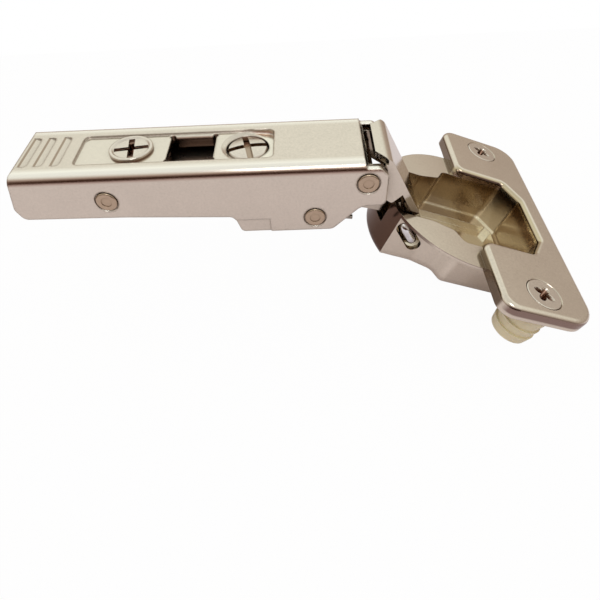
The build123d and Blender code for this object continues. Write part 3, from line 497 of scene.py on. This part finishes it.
def combined(operation, zones):
    """Zone that an operation makes of other zones."""
    def zone(tree):
        mask = zones[0](tree)
        for other in zones[1:]:
            mask = number(tree, operation, mask, other(tree))
        return mask
    return zone


def overlap(*zones):
    """Zone where all of the given zones meet."""
    return combined("MULTIPLY", zones)


def union(*zones):
    """Zone of all of the given zones, which lie apart."""
    return combined("ADD", zones)


def layer(centre, axis, start, end):
    """Zone between two depths under a face, each the two depths that its limit blurs over."""
    return overlap(below(centre, axis, *start), below(centre, axis, *end))


def looking_aside(least, most):
    """Zone of the faces that look to either side, from none to all by the cosine."""
    return union(looking(NEARWARD, least, most), looking(FARWARD, least, most))


def outward(tree):
    """Direction from the cup's axis out to the surface."""
    reach = vector(tree, "SUBTRACT", coordinate(tree, "Object"), Vector(CUP_CENTRE) * MM)
    rise = vector(tree, "PROJECT", reach, CUP_AXIS)
    return vector(tree, "NORMALIZE", vector(tree, "SUBTRACT", reach, rise))


# Painted highlight: the panel's top is made lighter
PANEL_HIGHLIGHT = overlap(below(ARM_TOP, UPRIGHT, 0.25, 0.75), looking(UPRIGHT, 0.85, 0.97))
# Painted highlight on the top beside the folds
FOLD_HIGHLIGHT = overlap(off_middle(5.4, 6.6), looking(UPRIGHT, 0.6, 0.85))
UNDER_FOLDS = overlap(
    layer(ARM_TOP, UPRIGHT, (0.2, 0.6), (2.0, 1.2)), looking_aside(0.6, 0.9),
)
# Painted shade on the grooves' ramps
GROOVE_SHADE = overlap(
    union(
        layer(ARM_TOP, UPRIGHT, (0.01, 0.05), (0.16, 0.12)),
        layer(ARM_TOP, UPRIGHT, (0.38, 0.42), (0.60, 0.55)),
    ),
    looking(GROOVE_RAMP, 0.975, 0.99),
)
# Painted shade inside the arm
ARM_INSIDE_SHADE = overlap(below(ARM_TOP, UPRIGHT, 0.9, 1.7), off_middle(6.6, 5.6))

INTO_BOWL = overlap(looking(outward, 0.4, 0.1), looking(CUP_AXIS, -0.5, -0.2))
# Painted shade, olive brown, inside the bowl
BOWL_SHADE = overlap(below(CUP_CENTRE, CUP_AXIS, 2.4, 3.6), INTO_BOWL)
# Painted shade on the bowl's far wall
BOWL_FAR_SHADE = overlap(
    below(CUP_CENTRE, CUP_AXIS, 10.5, 2.0), INTO_BOWL, looking(NEARWARD, 0.55, 0.9),
)
# Painted light on the bowl's floor
BOWL_FLOOR_LIGHT = overlap(below(CUP_CENTRE, CUP_AXIS, 9.6, 10.1), INTO_BOWL)
# Painted shade on the cup's rear wall
REAR_WALL_SHADE = overlap(below(POT_REAR, FORWARD, 0.05, 2.0), looking(REARWARD, 0.35, 0.8))
UNDER_RIM = overlap(
    layer(CUP_CENTRE, CUP_AXIS, (1.1, 1.7), (4.4, 2.4)), looking(outward, -0.3, -0.7),
)
BOWL_RIM = overlap(
    layer(CUP_CENTRE, CUP_AXIS, (0.02, 0.25), (1.7, 1.1)), looking(outward, -0.15, -0.5),
)
# Painted dark reflection on the flange's bent ends
FLANGE_END_REFLECTION = overlap(
    layer(CUP_CENTRE, CUP_AXIS, (0.2, 0.6), (2.1, 1.7)), looking_aside(0.5, 0.8),
)


# Materials


def plated_material(
    name, tone, stretch, rougher=0.0, reach=4.0, shaded_side=(0.0, 0.0, 0.0), rounding=None,
):
    """Plated steel with its drawn lines along the smallest stretch.

    It takes painted shade within reach of a corner, in millimetres, and on faces that look the
    shaded side's way.
    """
    finish = bpy.context.scene.hinge_finish
    material, tree, shader = new_material(name)
    surface = add_node(
        tree, "ShaderNodeGroup", node_tree=bpy.data.node_groups["plated surface"],
        Colour=tone, Tarnish=finish.painted_shade, Roughness=finish.roughness + rougher,
    )
    surface.inputs["Tarnish Colour"].default_value = finish.painted_shade_colour
    surface.inputs["Corner Reach"].default_value = reach * MM
    surface.inputs["Shaded Side"].default_value = shaded_side
    lines = add_node(
        tree, "ShaderNodeGroup", node_tree=bpy.data.node_groups["drawn lines"], Stretch=stretch,
    )
    rounded = add_node(tree, "ShaderNodeBevel", samples=4, Radius=rounding or finish.edge_round)
    relief = add_node(
        tree, "ShaderNodeBump", Strength=LINE_DEPTH, Distance=RELIEF,
        Height=lines.outputs["Height"], Normal=rounded.outputs["Normal"],
    )
    shader["Metallic"].default_value = 1.0
    feed(tree, shader["Base Color"], surface.outputs["Colour"])
    feed(tree, shader["Roughness"], surface.outputs["Roughness"])
    feed(tree, shader["Normal"], relief.outputs["Normal"])
    return material


def paint(material, tone, zone):
    """Give a zone of a plated material a colour of its own."""
    tree = material.node_tree
    base = tree.nodes["Principled BSDF"].inputs["Base Color"]
    feed(tree, base, blended(tree, zone(tree), base.links[0].from_socket, tone))


def plastic_material():
    """Ivory moulded plastic, slightly see-through at its rims."""
    tone = bpy.context.scene.hinge_finish.dowel_colour
    darker = [part * PLASTIC_SHADE for part in tone[:3]] + [1.0]
    material, tree, shader = new_material("ivory plastic")
    shader["Subsurface Weight"].default_value = PLASTIC_GLOW
    shader["Subsurface Radius"].default_value = PLASTIC_DEPTHS
    shader["Subsurface Scale"].default_value = 1.0
    cloud = noise(tree, Scale=PLASTIC_SCALE, Detail=3.0)
    relief = add_node(
        tree, "ShaderNodeBump", Strength=PLASTIC_GRAIN, Distance=RELIEF, Height=cloud,
    )
    feed(tree, shader["Base Color"], blended(tree, cloud, tone, darker))
    feed(tree, shader["Roughness"], mapped(tree, cloud, (0.0, 1.0), PLASTIC_BLUR))
    feed(tree, shader["Normal"], relief.outputs["Normal"])
    return material


def finish_nodes(material, *nodes):
    """Give CAD nodes of the frame a material."""
    for node in nodes:
        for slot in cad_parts[node].material_slots:
            slot.material = material


# Cup screws


def ringed_solid(name, rings, sides):
    """Closed mesh through rings of (height, radius), both functions of the angle."""
    build = bmesh.new()
    angles = [2 * pi * step / sides for step in range(sides)]
    rows = [
        [build.verts.new((radius(a) * cos(a), radius(a) * sin(a), height(a))) for a in angles]
        for height, radius in rings
    ]
    for upper, lower in zip(rows, rows[1:]):
        for step in range(sides):
            after = (step + 1) % sides
            build.faces.new((upper[step], lower[step], lower[after], upper[after]))
    build.faces.new(rows[0])
    build.faces.new(rows[-1][::-1])
    bmesh.ops.recalc_face_normals(build, faces=build.faces)
    mesh = bpy.data.meshes.new(name)
    build.to_mesh(mesh)
    build.free()
    return mesh


def even(value):
    """Radius or height that is the same at every angle."""
    return lambda angle: value


def star(tip, waist):
    """Lobed outline of a driver recess."""
    return lambda angle: waist + (tip - waist) * abs(cos(STAR_LOBES / 2 * angle)) ** STAR_POWER


def thread_radius(level, pitch, shank, crest):
    """Radius of a single thread at one level, as a function of the angle."""
    def radius(angle):
        phase = (level / pitch - angle / (2 * pi)) % 1.0
        return shank - crest * min(1.0, THREAD_FLANK * min(phase, 1.0 - phase))
    return radius


def screw_body(sizes):
    """Countersunk wood screw along Z with its head's face at zero height."""
    head, shank = sizes.screw_head, sizes.screw_shank
    pitch, crest = sizes.screw_pitch, sizes.screw_thread
    slope = head - shank
    rings = [
        (even(-depth * HEAD_CHAMFER), even(head - inset * HEAD_CHAMFER))
        for depth, inset in HEAD_RINGS
    ]
    rings.append((even(-slope), even(shank)))
    tip = sizes.screw_length - shank
    level = slope + pitch / 2
    while level < tip:
        rings.append((even(-level), thread_radius(level, pitch, shank, crest)))
        level += pitch / THREAD_STEPS
    rings += [(even(-tip), even(shank - crest)), (even(-sizes.screw_length), even(POINT_RADIUS))]
    return ringed_solid("screw blank", rings, SCREW_SIDES)


def settled(item):
    """Plain mesh of an object with its modifiers carried out."""
    graph = bpy.context.evaluated_depsgraph_get()
    return bpy.data.meshes.new_from_object(item.evaluated_get(graph))


def recessed_screw(sizes):
    """Screw with a star recess cut into its head."""
    mouth = star(sizes.recess_tip, sizes.recess_waist)
    foot = star(sizes.recess_tip * STAR_TAPER, sizes.recess_waist * STAR_TAPER)
    rings = [(even(STAR_CLEAR), mouth), (even(0.0), mouth), (even(-sizes.recess_depth), foot)]
    blank = bpy.data.objects.new("screw_blank", screw_body(sizes))
    cutter = bpy.data.objects.new(
        "recess_cutter", ringed_solid("recess cutter", rings, STAR_SIDES),
    )
    for item in (blank, cutter):
        bpy.context.scene.collection.objects.link(item)
    cut = blank.modifiers.new("recess", "BOOLEAN")
    cut.operation = "DIFFERENCE"
    cut.solver = "EXACT"
    cut.object = cutter
    mesh = settled(blank)
    for item in (blank, cutter):
        bpy.data.objects.remove(item)
    return mesh


def pair_tree():
    """Geometry nodes that set two copies of one screw on a line of the flange."""
    tree, given, made = new_group(
        "screws on a line",
        [
            ("Geometry", "NodeSocketGeometry", None),
            ("Ahead", "NodeSocketFloat", None),
            ("Spacing", "NodeSocketFloat", None),
            ("Turn", "NodeSocketFloat", None),
            ("Tilt", "NodeSocketFloat", None),
            ("Centre", "NodeSocketVector", None),
            ("Plating", "NodeSocketMaterial", None),
        ],
        [("Geometry", "NodeSocketGeometry")],
        "GeometryNodeTree",
    )
    half = number(tree, "MULTIPLY", given["Spacing"], -0.5)
    first = add_node(tree, "ShaderNodeCombineXYZ", X=given["Ahead"], Y=half)
    step = add_node(tree, "ShaderNodeCombineXYZ", Y=given["Spacing"])
    line = add_node(
        tree, "GeometryNodeMeshLine", mode="OFFSET", Count=2, Offset=step.outputs["Vector"],
    )
    feed(tree, line.inputs["Start Location"], first.outputs["Vector"])
    about = add_node(tree, "ShaderNodeCombineXYZ", Z=given["Turn"])
    copies = add_node(
        tree, "GeometryNodeInstanceOnPoints", Points=line.outputs["Mesh"],
        Instance=given["Geometry"], Rotation=about.outputs["Vector"],
    )
    lean = add_node(tree, "ShaderNodeCombineXYZ", Y=given["Tilt"])
    placed = add_node(
        tree, "GeometryNodeTransform", Geometry=copies.outputs["Instances"],
        Translation=given["Centre"], Rotation=lean.outputs["Vector"],
    )
    real = add_node(
        tree, "GeometryNodeRealizeInstances", Geometry=placed.outputs["Geometry"],
    )
    dressed = add_node(
        tree, "GeometryNodeSetMaterial", Geometry=real.outputs["Geometry"],
        Material=given["Plating"],
    )
    feed(tree, made["Geometry"], dressed.outputs["Geometry"])
    return tree


def applied_tree(name, mesh, tree, **values):
    """Plain object from a mesh passed through a geometry tree with named input values."""
    holder = bpy.data.objects.new(name, mesh)
    bpy.context.scene.collection.objects.link(holder)
    step = holder.modifiers.new(name, "NODES")
    step.node_group = tree
    sockets = {
        item.name: item.identifier
        for item in tree.interface.items_tree if item.in_out == "INPUT"
    }
    for label, value in values.items():
        step[sockets[label]] = value
    made = settled(holder)
    holder.modifiers.remove(step)
    holder.data = made
    return holder


# Studio


def shown_to_eye(tree, output, usual, seen, part=1.0):
    """Let the camera see a second shader, or a part of it, in place of the usual one."""
    path = add_node(tree, "ShaderNodeLightPath")
    mixed = add_node(
        tree, "ShaderNodeMixShader",
        Fac=number(tree, "MULTIPLY", path.outputs["Is Camera Ray"], part),
    )
    feed(tree, mixed.inputs[1], usual)
    feed(tree, mixed.inputs[2], seen)
    feed(tree, tree.nodes[output].inputs["Surface"], mixed.outputs["Shader"])


def studio_floor(studio):
    """Pale floor that takes the object's shadow, and is almost white to the eye."""
    level = CAD_BOX[0].z - studio.floor_drop
    corners = [
        (x * studio.floor_reach, y * studio.floor_reach, level)
        for x, y in ((-1, -1), (1, -1), (1, 1), (-1, 1))
    ]
    sheet = bpy.data.meshes.new("studio floor")
    sheet.from_pydata(corners, [], [(0, 1, 2, 3)])
    floor = bpy.data.objects.new("studio_floor", sheet)
    bpy.context.scene.collection.objects.link(floor)
    paper, tree, shader = new_material("pale paper")
    shader["Base Color"].default_value = studio.floor_colour
    shader["Roughness"].default_value = FLOOR_BLUR
    matt = tree.nodes["Principled BSDF"]
    glow = add_node(tree, "ShaderNodeEmission", Color=WHITE, Strength=1.0)
    shown_to_eye(
        tree, "Material Output", matt.outputs["BSDF"], glow.outputs["Emission"], FLOOR_WHITE,
    )
    sheet.materials.append(paper)


def sky_ramp(tree, level, stops):
    """Colours of one part of the sky from the horizon, at 0, to straight up, at 1."""
    ramp = add_node(tree, "ShaderNodeValToRGB", Fac=level)
    marks = ramp.color_ramp.elements
    while len(marks) < len(stops):
        marks.new(0.5)
    for mark, (spot, tone) in zip(marks, stops):
        mark.position = spot
        mark.color = (*tone, 1.0)
    return ramp.outputs["Color"]


def studio_world():
    """World that is white to the eye, dim low in front, and bright behind and overhead."""
    world = bpy.data.worlds.new("studio air")
    bpy.context.scene.world = world
    world.use_nodes = True
    tree = world.node_tree
    way = add_node(tree, "ShaderNodeSeparateXYZ", Vector=coordinate(tree, "Generated")).outputs
    front = sky_ramp(tree, way["Z"], SKY_FRONT)
    back = sky_ramp(tree, way["Z"], SKY_BACK)
    side = sky_ramp(tree, way["Z"], SKY_SIDE)
    behind = mapped(tree, way["Y"], SKY_TURN, smooth=True)
    aside = mapped(tree, number(tree, "ABSOLUTE", way["X"]), SKY_ASIDE, smooth=True)
    air = tree.nodes["Background"]
    air.inputs["Strength"].default_value = 1.0
    feed(tree, air.inputs["Color"], blended(tree, aside, blended(tree, behind, front, back), side))
    seen = add_node(tree, "ShaderNodeBackground", Color=WHITE, Strength=1.0)
    shown_to_eye(tree, "World Output", air.outputs["Background"], seen.outputs["Background"])


def area_lamp(name, spot, target, size, power):
    """Square soft lamp that faces a target."""
    lamp = bpy.data.lights.new(name, "AREA")
    lamp.size = size
    lamp.energy = power
    holder = bpy.data.objects.new(name, lamp)
    turn = (target - spot).to_track_quat("-Z", "Y").to_matrix().to_4x4()
    holder.matrix_world = Matrix.Translation(spot) @ turn
    bpy.context.scene.collection.objects.link(holder)


def studio_camera(studio):
    """Camera that stands and looks as the settings say."""
    view = bpy.data.cameras.new("hinge camera")
    view.sensor_width = SENSOR_WIDTH
    view.lens = studio.camera_lens
    view.clip_start = 1.0 * MM
    heading = Vector(studio.camera_heading).normalized()
    right = Vector(studio.camera_right)
    right = (right - heading * right.dot(heading)).normalized()
    turn = Matrix((right, right.cross(heading), -heading)).transposed().to_4x4()
    camera = bpy.data.objects.new("hinge_camera", view)
    camera.matrix_world = Matrix.Translation(studio.camera_place) @ turn
    bpy.context.scene.collection.objects.link(camera)
    return camera


# Operators, one for each piece or group of like pieces, and one for the stage


class HINGE_OT_shared_effects(bpy.types.Operator):
    """Build the shader groups that the finishes share"""

    bl_idname = "hinge.shared_effects"
    bl_label = "Shared effects"

    def execute(self, context):
        plating_group()
        drawn_group()
        sunk_group()
        return {"FINISHED"}


class HINGE_OT_arm(bpy.types.Operator):
    """Finish the folded outer arm"""

    bl_idname = "hinge.arm"
    bl_label = "Outer arm"

    def execute(self, context):
        finish = context.scene.hinge_finish
        arm = plated_material(
            "arm nickel", finish.arm_colour, stretch=(1.0, 14.0, 14.0), reach=14.0,
            rounding=finish.fold_round,
        )
        # Painted highlight on the panel's top
        paint(arm, finish.panel_highlight_colour, PANEL_HIGHLIGHT)
        # Painted highlight on the top beside the folds
        paint(arm, finish.fold_highlight_colour, FOLD_HIGHLIGHT)
        paint(arm, finish.fold_colour, UNDER_FOLDS)
        # Painted shade on the grooves' ramps
        paint(arm, finish.groove_shade_colour, GROOVE_SHADE)
        # Painted shade inside the arm
        paint(arm, finish.hollow_shade_colour, ARM_INSIDE_SHADE)
        finish_nodes(arm, "outer_arm")
        return {"FINISHED"}


class HINGE_OT_cup(bpy.types.Operator):
    """Finish the drawn cup with its flange"""

    bl_idname = "hinge.cup"
    bl_label = "Cup"

    def execute(self, context):
        finish = context.scene.hinge_finish
        # Painted shade on the cup's rear-facing faces and within reach of its corners
        cup = plated_material(
            "cup nickel", finish.cup_colour, stretch=(3.0, 5.0, 3.0), reach=5.0, shaded_side=REARWARD,
        )
        # Painted shade, olive brown, inside the bowl
        paint(cup, finish.bowl_shade_colour, BOWL_SHADE)
        # Painted shade on the bowl's far wall
        paint(cup, finish.far_side_shade_colour, BOWL_FAR_SHADE)
        # Painted light on the bowl's floor
        paint(cup, finish.floor_light_colour, BOWL_FLOOR_LIGHT)
        # Painted shade on the cup's rear wall
        paint(cup, finish.rear_shade_colour, REAR_WALL_SHADE)
        paint(cup, finish.shade_colour, UNDER_RIM)
        # Darker olive tint on the rim's inner bend
        paint(cup, finish.rim_colour, BOWL_RIM)
        # Painted dark reflection on the flange's bent ends
        paint(cup, finish.flange_end_reflection_colour, FLANGE_END_REFLECTION)
        finish_nodes(cup, "hinge_cup")
        return {"FINISHED"}


class HINGE_OT_links(bpy.types.Operator):
    """Finish the outer and inner links"""

    bl_idname = "hinge.links"
    bl_label = "Links"

    def execute(self, context):
        finish = context.scene.hinge_finish
        # Painted shade on the links' rear-facing faces and within reach of their corners
        links = plated_material(
            "link nickel", finish.link_colour, stretch=(6.0, 1.0, 6.0), rougher=-0.04, reach=8.0,
            shaded_side=LINK_REAR,
        )
        finish_nodes(links, "outer_link", "inner_link")
        return {"FINISHED"}


class HINGE_OT_pins(bpy.types.Operator):
    """Finish the rivets, pins and the double axle"""

    bl_idname = "hinge.pins"
    bl_label = "Rivets and pins"

    def execute(self, context):
        finish = context.scene.hinge_finish
        steel = plated_material(
            "rivet steel", finish.pin_colour, stretch=(8.0, 1.0, 8.0), rougher=0.06,
        )
        axle = plated_material(
            "axle steel", finish.axle_colour, stretch=(8.0, 1.0, 8.0), rougher=-0.1, reach=1.0,
        )
        finish_nodes(steel, "guide_pin", "outer_link_rivet", "inner_link_rivet")
        finish_nodes(steel, "front_hook_pin", "clip_lever_pin")
        finish_nodes(axle, "cup_axle_staple")
        return {"FINISHED"}


def screw_material(name, recess_shade_colour, recess):
    """Screw plating with shade painted in its recess."""
    finish = bpy.context.scene.hinge_finish
    material = plated_material(name, finish.screw_colour, stretch=(5.0, 5.0, 5.0), reach=1.6)
    paint(material, recess_shade_colour, recess)
    return material


class HINGE_OT_screws(bpy.types.Operator):
    """Finish the two adjusting screws"""

    bl_idname = "hinge.screws"
    bl_label = "Adjusting screws"

    def execute(self, context):
        finish = context.scene.hinge_finish
        # Painted shade in the recesses of the cam and side screws
        cam_cross = below(CAM_FACE, UPRIGHT, *RECESS_DEPTHS)
        side_cross = below(SIDE_SCREW_TOP, UPRIGHT, *RECESS_DEPTHS, SIDE_SCREW_BULGE)
        cam = screw_material("cam screw nickel", finish.recess_shade_colour, cam_cross)
        side = screw_material("side screw nickel", finish.side_recess_shade, side_cross)
        finish_nodes(cam, "depth_cam_screw")
        finish_nodes(side, "side_adjust_screw")
        return {"FINISHED"}


class HINGE_OT_cup_screws(bpy.types.Operator):
    """Make the two countersunk cup screws with their star recess"""

    bl_idname = "hinge.cup_screws"
    bl_label = "Cup screws"

    def execute(self, context):
        finish = context.scene.hinge_finish
        sizes = context.scene.hinge_screws
        # Painted shade in the star recesses of the cup screws
        recess = below(CUP_CENTRE, CUP_AXIS, *CUP_SCREW_DEPTHS)
        pair = applied_tree(
            "cup_screw_pair", recessed_screw(sizes), pair_tree(), Ahead=sizes.screw_ahead,
            Spacing=sizes.screw_spacing, Turn=sizes.recess_turn, Tilt=CUP_TILT,
            Centre=Vector(CUP_CENTRE) * MM,
            Plating=screw_material("cup screw nickel", finish.recess_shade_colour, recess),
        )
        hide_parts("cup_screw_near", "cup_screw_far")
        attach(pair, "cup")
        return {"FINISHED"}


class HINGE_OT_carrier(bpy.types.Operator):
    """Finish the carrier and its clip lever"""

    bl_idname = "hinge.carrier"
    bl_label = "Carrier"

    def execute(self, context):
        finish = context.scene.hinge_finish
        zinc = plated_material(
            "inner zinc", finish.inner_colour, stretch=(1.0, 9.0, 9.0), rougher=0.12, reach=10.0,
        )
        finish_nodes(zinc, "carrier_arm", "clip_lever")
        return {"FINISHED"}


class HINGE_OT_springs(bpy.types.Operator):
    """Finish the closing springs and the clip spring"""

    bl_idname = "hinge.springs"
    bl_label = "Springs"

    def execute(self, context):
        finish = context.scene.hinge_finish
        wire = plated_material(
            "spring wire", finish.spring_colour, stretch=(9.0, 1.0, 9.0), rougher=0.1,
        )
        finish_nodes(wire, "clip_spring", "closing_spring_near", "closing_spring_far")
        return {"FINISHED"}


class HINGE_OT_dowels(bpy.types.Operator):
    """Finish the ringed dowels"""

    bl_idname = "hinge.dowels"
    bl_label = "Dowels"

    def execute(self, context):
        finish_nodes(plastic_material(), "dowel_near", "dowel_far")
        return {"FINISHED"}


class HINGE_OT_stage(bpy.types.Operator):
    """Set the floor, the air, the lamp and the camera"""

    bl_idname = "hinge.stage"
    bl_label = "Stage"

    def execute(self, context):
        scene = context.scene
        studio = scene.hinge_studio
        scene.view_settings.view_transform = "Standard"
        studio_floor(studio)
        studio_world()
        low, high = CAD_BOX
        middle = (low + high) / 2
        spot = middle + Vector(studio.lamp_place)
        area_lamp("key lamp", spot, middle, studio.lamp_size, studio.lamp_power)
        scene.camera = studio_camera(studio)
        return {"FINISHED"}


PIECES = (
    HINGE_OT_shared_effects, HINGE_OT_arm, HINGE_OT_cup, HINGE_OT_links, HINGE_OT_pins,
    HINGE_OT_screws, HINGE_OT_cup_screws, HINGE_OT_carrier, HINGE_OT_springs, HINGE_OT_dowels,
    HINGE_OT_stage,
)


class HINGE_PT_sidebar(bpy.types.Panel):
    """Lists the operators and settings of the hinge"""

    bl_idname = "HINGE_PT_sidebar"
    bl_label = "Cup hinge"
    bl_space_type = "VIEW_3D"
    bl_region_type = "UI"
    bl_category = "Hinge"

    def draw(self, context):
        scene = context.scene
        for settings in (scene.hinge_finish, scene.hinge_screws, scene.hinge_studio):
            box = self.layout.box()
            for name in settings.bl_rna.properties.keys():
                if name not in ("rna_type", "name"):
                    box.prop(settings, name)
        for piece in PIECES:
            self.layout.operator(piece.bl_idname)


CLASSES = (
    HingeFinishSettings, HingeScrewSettings, HingeStudioSettings, *PIECES, HINGE_PT_sidebar,
)


def register():
    for kind in CLASSES:
        bpy.utils.register_class(kind)
    bpy.types.Scene.hinge_finish = bpy.props.PointerProperty(type=HingeFinishSettings)
    bpy.types.Scene.hinge_screws = bpy.props.PointerProperty(type=HingeScrewSettings)
    bpy.types.Scene.hinge_studio = bpy.props.PointerProperty(type=HingeStudioSettings)


def unregister():
    del bpy.types.Scene.hinge_studio
    del bpy.types.Scene.hinge_screws
    del bpy.types.Scene.hinge_finish
    for kind in reversed(CLASSES):
        bpy.utils.unregister_class(kind)


def main():
    """Dress the frame, one operator after the other."""
    register()
    for piece in PIECES:
        family, name = piece.bl_idname.split(".")
        getattr(getattr(bpy.ops, family), name)()


if __name__ == "__main__":
    main()
